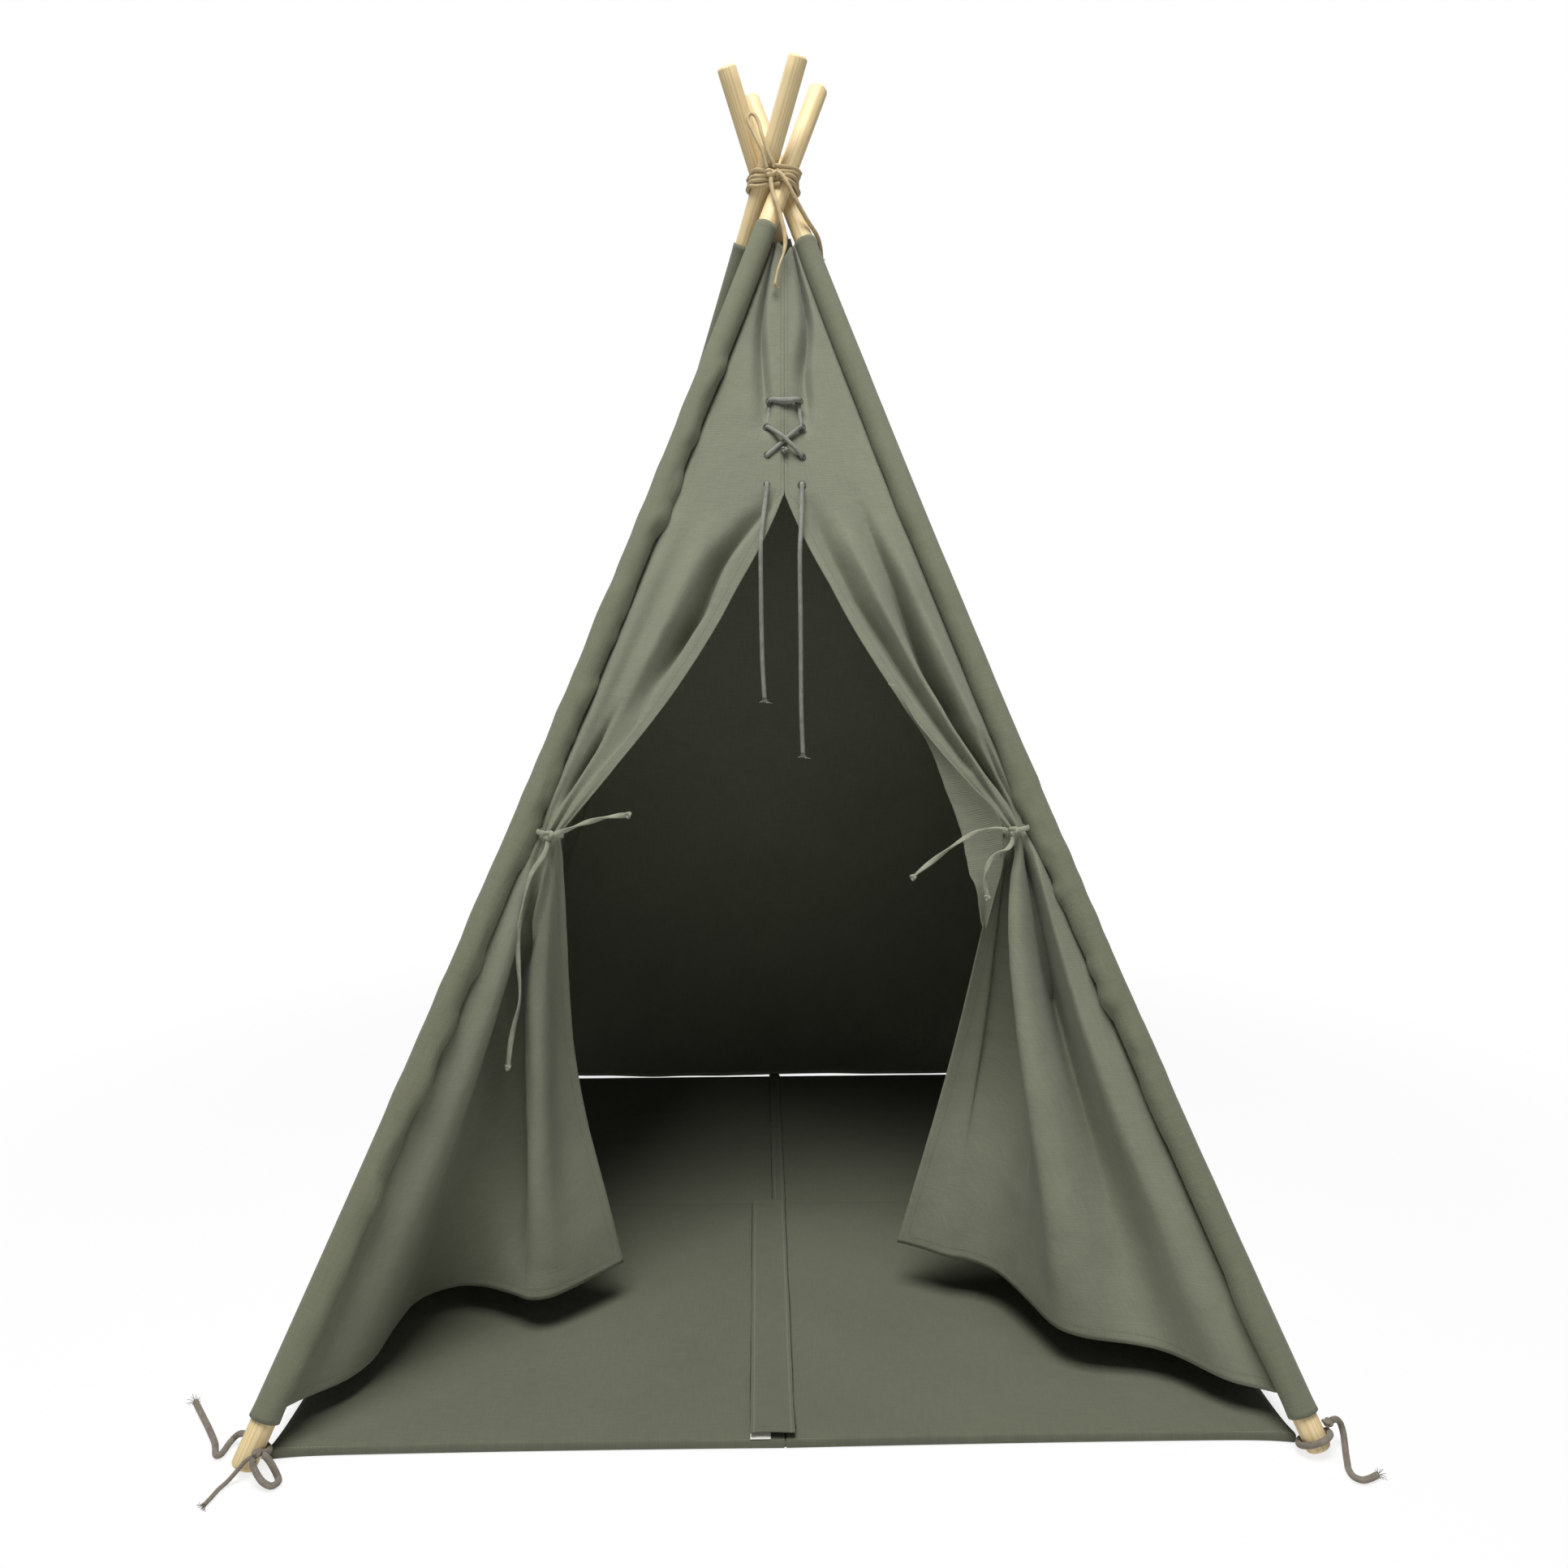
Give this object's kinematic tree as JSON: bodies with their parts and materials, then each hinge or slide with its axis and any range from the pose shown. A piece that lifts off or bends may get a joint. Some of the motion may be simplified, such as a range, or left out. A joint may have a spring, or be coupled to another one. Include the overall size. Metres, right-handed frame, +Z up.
{
  "type": "kids teepee tent",
  "caption": "Play tent: lashed wooden poles under a grey-green canvas cover with a laced front, tied-back door flaps and a padded folding floor mat.",
  "frame": {"origin": "on the floor, in the middle of the tent's square base", "axes": "+Z up; the door faces -Y; +X to the right of someone looking in through the door"},
  "size_m": [1.2193, 1.1401, 1.5528],
  "materials": {
    "pine": "bare sanded pine",
    "canvas": "plain-weave cotton canvas",
    "lashing_cord": "waxed beige cord",
    "lace": "round grey lace",
    "tape": "narrow folded cotton tape",
    "foot_cord": "brown-grey woven cord",
    "mat_cotton": "padded cotton canvas",
    "label_white": "blank woven label"
  },
  "bodies": {
    "crown": {"lashing_winding": "lashing_cord", "lashing_knot": "lashing_cord", "lashing_bight": "lashing_cord", "lashing_tail_front": "lashing_cord", "lashing_tail_side": "lashing_cord"},
    "front_left_pole": {"pole_front_left": "pine", "sleeve_front_left": "canvas", "tie_band_left": "tape", "tie_knot_left": "tape", "tie_tail_left_upper": "tape", "tie_tail_left_lower": "tape", "foot_tie_left": "foot_cord", "foot_knot_left": "foot_cord", "foot_tail_left": "foot_cord", "foot_loop_left": "foot_cord"},
    "front_right_pole": {"pole_front_right": "pine", "sleeve_front_right": "canvas", "tie_band_right": "tape", "tie_knot_right": "tape", "tie_tail_right_upper": "tape", "tie_tail_right_lower": "tape", "foot_ring_right": "foot_cord", "foot_knot_right": "foot_cord", "foot_tail_right": "foot_cord"},
    "rear_left_pole": {"pole_rear_left": "pine", "sleeve_rear_left": "canvas"},
    "rear_right_pole": {"pole_rear_right": "pine", "sleeve_rear_right": "canvas"},
    "front_panel": {"front_panel_left": "canvas", "front_panel_right": "canvas", "lacing": "lace", "lace_bead": "lace", "lace_tail_left": "lace", "lace_tail_right": "lace"},
    "back_wall": {"wall_back": "canvas"},
    "left_wall": {"wall_left": "canvas"},
    "right_wall": {"wall_right": "canvas"},
    "mat_front": {"mat_pad_front_left": "mat_cotton", "mat_pad_front_right": "mat_cotton", "mat_strip_front": "mat_cotton", "care_label": "label_white"},
    "mat_rear": {"mat_pad_rear_left": "mat_cotton", "mat_pad_rear_right": "mat_cotton", "mat_strip_rear": "mat_cotton"},
    "left_skirt": {"door_skirt_left": "canvas"},
    "right_skirt": {"door_skirt_right": "canvas"}
  },
  "joints": [
    {"name": "front_left_pole_fold", "type": "hinge", "parent": "crown", "child": "front_left_pole", "pos_m": [0.0136, -0.0136, 1.417], "axis": [0.7071, -0.7071, 0], "range_deg": [0, 19.5], "deforming": ["wall_back", "wall_left", "wall_right", "front_panel_left", "front_panel_right", "lacing", "lace_bead", "lace_tail_left", "lace_tail_right", "mat_pad_front_left", "mat_pad_front_right", "mat_pad_rear_left", "mat_pad_rear_right", "mat_strip_front", "mat_strip_rear", "care_label", "door_skirt_left", "door_skirt_right", "tie_tail_left_upper", "tie_tail_left_lower", "tie_tail_right_upper", "tie_tail_right_lower", "lashing_tail_front", "lashing_tail_side", "lashing_bight", "lashing_winding", "lashing_knot"]},
    {"name": "front_right_pole_fold", "type": "hinge", "parent": "crown", "child": "front_right_pole", "pos_m": [0.0136, 0.0136, 1.417], "axis": [0.7071, 0.7071, 0], "range_deg": [0, 19.5]},
    {"name": "rear_left_pole_fold", "type": "hinge", "parent": "crown", "child": "rear_left_pole", "pos_m": [-0.0136, -0.0136, 1.417], "axis": [-0.7071, -0.7071, 0], "range_deg": [0, 19.5]},
    {"name": "rear_right_pole_fold", "type": "hinge", "parent": "crown", "child": "rear_right_pole", "pos_m": [-0.0136, 0.0136, 1.417], "axis": [-0.7071, 0.7071, 0], "range_deg": [0, 19.5]},
    {"name": "front_panel_fold", "type": "hinge", "parent": "crown", "child": "front_panel", "pos_m": [0, 0, 1.417], "axis": [1, 0, 0], "range_deg": [0, 14.6]},
    {"name": "right_wall_fold", "type": "hinge", "parent": "crown", "child": "right_wall", "pos_m": [0, 0, 1.417], "axis": [0, 1, 0], "range_deg": [0, 14.6]},
    {"name": "back_wall_fold", "type": "hinge", "parent": "crown", "child": "back_wall", "pos_m": [0, 0, 1.417], "axis": [-1, 0, 0], "range_deg": [0, 14.6]},
    {"name": "left_wall_fold", "type": "hinge", "parent": "crown", "child": "left_wall", "pos_m": [0, 0, 1.417], "axis": [0, -1, 0], "range_deg": [0, 14.6]},
    {"name": "mat_front_fold", "type": "hinge", "parent": "front_panel", "child": "mat_front", "pos_m": [0, -0.519, 0], "axis": [1, 0, 0], "range_deg": [0, 52.7]},
    {"name": "mat_rear_fold", "type": "hinge", "parent": "back_wall", "child": "mat_rear", "pos_m": [0, 0.519, 0], "axis": [-1, 0, 0], "range_deg": [0, 52.7]},
    {"name": "left_skirt_swing", "type": "hinge", "parent": "front_left_pole", "child": "left_skirt", "pos_m": [-0.2775, -0.3056, 0.603], "axis": [-0.3784, -0.3333, -0.8635], "range_deg": [-15, 35]},
    {"name": "right_skirt_swing", "type": "hinge", "parent": "front_right_pole", "child": "right_skirt", "pos_m": [0.2855, -0.2955, 0.603], "axis": [-0.3657, 0.3487, 0.8629], "range_deg": [-15, 35]}
  ],
  "couplings": [
    {"joint": "front_right_pole_fold", "follows": "front_left_pole_fold", "ratio": 1},
    {"joint": "rear_left_pole_fold", "follows": "front_left_pole_fold", "ratio": 1},
    {"joint": "rear_right_pole_fold", "follows": "front_left_pole_fold", "ratio": 1},
    {"joint": "front_panel_fold", "follows": "front_left_pole_fold", "ratio": 0.7436},
    {"joint": "right_wall_fold", "follows": "front_left_pole_fold", "ratio": 0.7436},
    {"joint": "back_wall_fold", "follows": "front_left_pole_fold", "ratio": 0.7436},
    {"joint": "left_wall_fold", "follows": "front_left_pole_fold", "ratio": 0.7436},
    {"joint": "mat_front_fold", "follows": "front_left_pole_fold", "ratio": 2.6974},
    {"joint": "mat_rear_fold", "follows": "front_left_pole_fold", "ratio": 2.6974}
  ]
}
